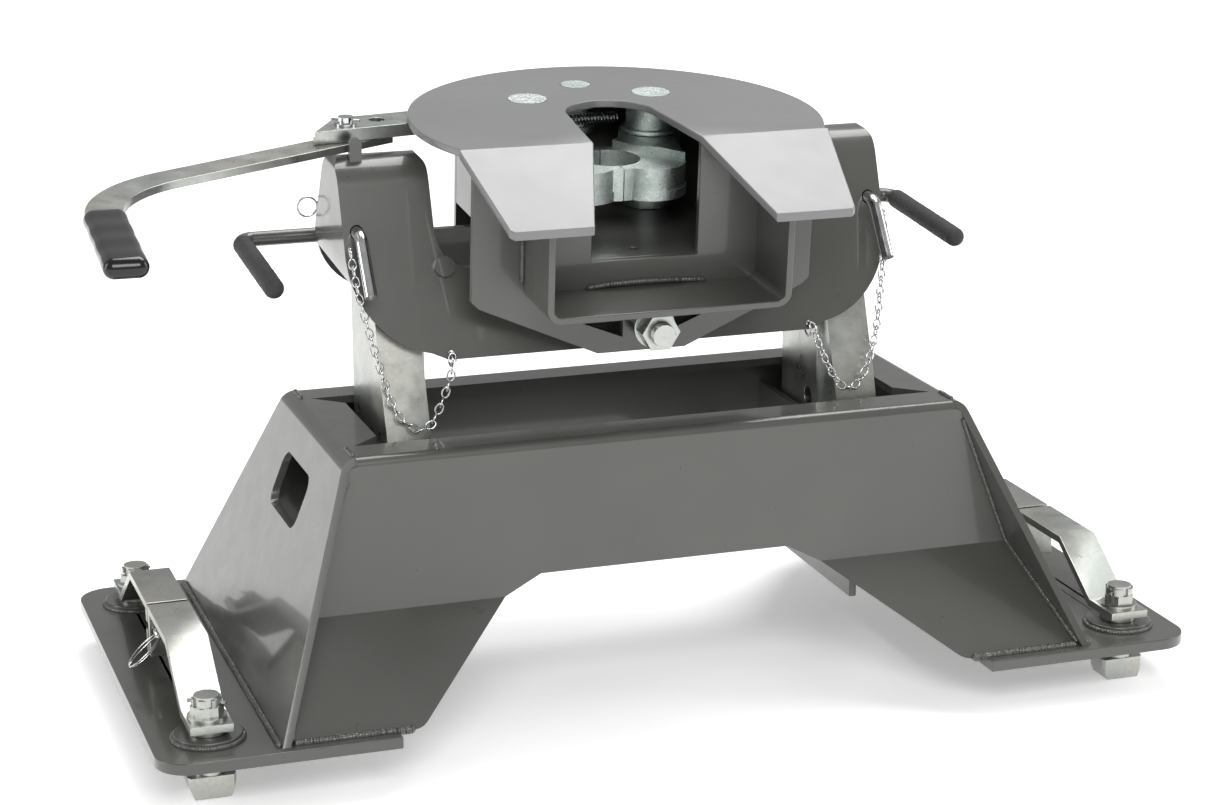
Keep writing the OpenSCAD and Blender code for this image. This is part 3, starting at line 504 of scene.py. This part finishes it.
def dipped_grip():
    """Dipped vinyl over the flat bar's end: a long flat oval, full at both ends."""
    front, rear = Vector((-449.0, -231.0, 423.7)), Vector((-444.5, -113.0, 423.7))
    along = (rear - front).normalized()
    across = Vector((along.y, -along.x, 0.0))
    half, radius, sides, steps = 8.5, 8.0, 40, 30
    places = []
    for turn in map(math.radians, range(4, 90, 7)):
        places.append((front - along * radius * math.cos(turn), math.sin(turn)))
    places += [(front.lerp(rear, i / steps), 1.0 + 0.02 * math.sin(i * 0.7)) for i in range(steps + 1)]
    for turn in map(math.radians, range(8, 87, 7)):
        places.append((rear + along * radius * math.sin(turn), math.cos(turn)))
    verts = []
    for place, fullness in places:
        for k in range(sides):
            turn = 2 * math.pi * (k + 0.5) / sides
            bulge = half if math.cos(turn) > 0 else -half
            spot = place + across * (bulge + radius * fullness * math.cos(turn))
            spot.z += radius * fullness * math.sin(turn)
            verts.append(level(*spot))
    return verts, skin(len(places), sides)


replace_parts(mesh_piece("dipped_grip", *dipped_grip(), "jaw_handle", "vinyl_grip"), "handle_grip")

# ---- weld beads ----

BEAD_STEP = 0.6 * MM


def bead(path, radius, seed):
    """A rippled weld bead along a polyline: crescents a little uneven in width, four steps to each."""
    rng = random.Random(seed)
    fine = resample(path, BEAD_STEP)
    radii = []
    phase = 0.0
    for _ in fine:
        phase += 0.25 * rng.uniform(0.85, 1.15)
        crest = 1.0 - 0.16 * (phase % 1.0)
        radii.append(radius * crest * rng.uniform(0.96, 1.04))
    for end in range(min(4, len(radii) // 2)):
        fade = 0.45 + 0.14 * end
        radii[end] *= fade
        radii[-1 - end] *= fade
    drift = [Vector((rng.uniform(-1, 1), rng.uniform(-1, 1), rng.uniform(-1, 1))) * radius * 0.06
             for _ in fine]
    return tube([p + d for p, d in zip(fine, drift)], radii, 10)


def welds(name, paths, radius, body):
    """One piece of painted weld beads, one for each path."""
    parts = [bead(path, radius, 11 + i) for i, path in enumerate(paths)]
    mesh_piece(name, *join(parts), body, "grey_paint")


def mirrored(paths, axis):
    """The paths, and their mirror image across the plane x = 0 or y = 0."""
    out = list(paths)
    for path in paths:
        out.append([Vector((-p.x, p.y, p.z)) if axis == "x" else Vector((p.x, -p.y, p.z)) for p in path])
    return out


PANEL_Y, KICK_Z, FOOT_T, BASE_TOP = 112.0, 77.5, 9.5, 205.0
END_TOP_X, END_FOOT_X, SHEET_T = 267.0, 344.0, 6.4
END_SLOPE = (END_FOOT_X - END_TOP_X) / (BASE_TOP - FOOT_T)
SKIRT_SLOPE = 1.287


def end_inner_x(z):
    """X of the inner face of an end plate at a height."""
    return END_TOP_X + (BASE_TOP - z) * END_SLOPE - SHEET_T * math.sqrt(1 + END_SLOPE ** 2)


foot_edge_y = PANEL_Y + (KICK_Z - FOOT_T) * SKIRT_SLOPE
panel_seam = at((end_inner_x(190) - 1, -PANEL_Y - 0.6, 190),
                (end_inner_x(KICK_Z) - 1, -PANEL_Y - 0.6, KICK_Z),
                (end_inner_x(FOOT_T + 2) - 1, -foot_edge_y - 0.2, FOOT_T + 2))
skirt_foot = at((238, -foot_edge_y - 0.4, FOOT_T + 0.6),
                (end_inner_x(FOOT_T) - 2, -foot_edge_y - 0.4, FOOT_T + 0.6))
flange_seam = at((end_inner_x(198) - 4, -104, BASE_TOP + 0.1), (end_inner_x(198) - 4, -78, BASE_TOP + 0.1))
end_foot = at((END_FOOT_X + 1.0, -202, FOOT_T + 0.8), (END_FOOT_X + 1.0, 202, FOOT_T + 0.8))
welds("base_welds", mirrored(mirrored([panel_seam], "x"), "y"), 2.4 * MM, "base")
welds("foot_welds", mirrored(mirrored([skirt_foot], "x"), "y"), 3.6 * MM, "base")
welds("flange_welds", mirrored(mirrored([flange_seam], "x"), "y"), 2.2 * MM, "base")
welds("end_foot_welds", mirrored([end_foot], "x"), 2.8 * MM, "base")


LOCK_X, LOCK_Y, DISC_R = 393, 163, 27.4


def ring_path(centre, radius):
    """A full level circle, its first point repeated at the end."""
    steps = 40
    turns = [2 * math.pi * i / steps for i in range(steps + 1)]
    return [centre + Vector((math.cos(turn), math.sin(turn), 0)) * radius for turn in turns]


disc_rings = [ring_path(Vector((x, y, FOOT_T + 0.8)) * MM, DISC_R * MM)
              for x in (-LOCK_X, LOCK_X) for y in (-LOCK_Y, LOCK_Y)]
welds("disc_welds", disc_rings, 2.4 * MM, "base")


def level_path(*points):
    """Points of the level head, as they lie at rest."""
    return [level(*p) for p in points]


CHANNEL_X, CHANNEL_Z, HANGER_Y, CHANNEL_T = 103.5, 317.0, -62.0, 5.6
SEAM_Z = CHANNEL_Z + CHANNEL_T + 1.2
channel_back = level_path((-50, HANGER_Y - 1, SEAM_Z),
                          (-30, HANGER_Y - 1.5, SEAM_Z + 2),
                          (0, HANGER_Y - 1.5, SEAM_Z + 2.6),
                          (26, HANGER_Y - 1.5, SEAM_Z + 1.8),
                          (54, HANGER_Y - 1, SEAM_Z))
channel_sides = [level_path((side * (CHANNEL_X + 1), HANGER_Y - 0.8, 332),
                            (side * (CHANNEL_X + 1), HANGER_Y - 0.8, 420)) for side in (-1, 1)]
welds("head_welds", [channel_back] + channel_sides, 2.4 * MM, "head")

# ---- floor, world and lights ----

FLOOR_SIZE = 30
FLOOR_Z = cad_low.z - 0.0002
bpy.ops.mesh.primitive_plane_add(size=FLOOR_SIZE, location=(0, 0, FLOOR_Z))
floor = bpy.context.object
floor.name = "floor"
ground = Nodes("floor")
tone = ground.ramp(ground.noise(3.0), (0.3, (0.9, 0.9, 0.9)), (0.7, (0.92, 0.92, 0.92)))
# The floor's own glow grows away from the middle, so that it meets the pale world without a line.
away = ground.put("ShaderNodeVectorMath", operation="LENGTH")
ground.tree.links.new(ground.coords, away.inputs[0])
glow = ground.remap(away.outputs["Value"], 1.0, 3.5, 0.32, 1.0)
floor.data.materials.append(ground.set(Base_Color=tone, Roughness=0.7, Emission_Color=(1.0, 1.0, 1.0),
                                       Emission_Strength=glow))

world = bpy.data.worlds.new("studio")
bpy.context.scene.world = world
world.use_nodes = True
world.node_tree.nodes["Background"].inputs["Color"].default_value = (1.0, 1.0, 1.0, 1.0)
world.node_tree.nodes["Background"].inputs["Strength"].default_value = 0.42
AIM = Vector((0.0, 0.0, 0.24))
# (name, place, width, height, power)
LIGHTS = [
    ("key", (-0.6, -2.6, 2.1), 1.8, 1.2, 56.0),
    ("top", (0.5, 0.7, 2.4), 1.8, 1.4, 46.0),
    ("right", (2.6, -0.6, 1.4), 1.0, 1.8, 22.0),
    ("left", (-2.6, 0.3, 1.1), 0.8, 1.8, 18.0),
]
for name, place, width, height, power in LIGHTS:
    data = bpy.data.lights.new(name, "AREA")
    data.shape = "RECTANGLE"
    data.size, data.size_y, data.energy = width, height, power
    lamp = bpy.data.objects.new(name, data)
    lamp.location = place
    lamp.rotation_euler = (AIM - Vector(place)).to_track_quat("-Z", "Y").to_euler()
    bpy.context.scene.collection.objects.link(lamp)
bpy.context.scene.view_settings.view_transform = "Standard"
bpy.context.scene.view_settings.look = "None"
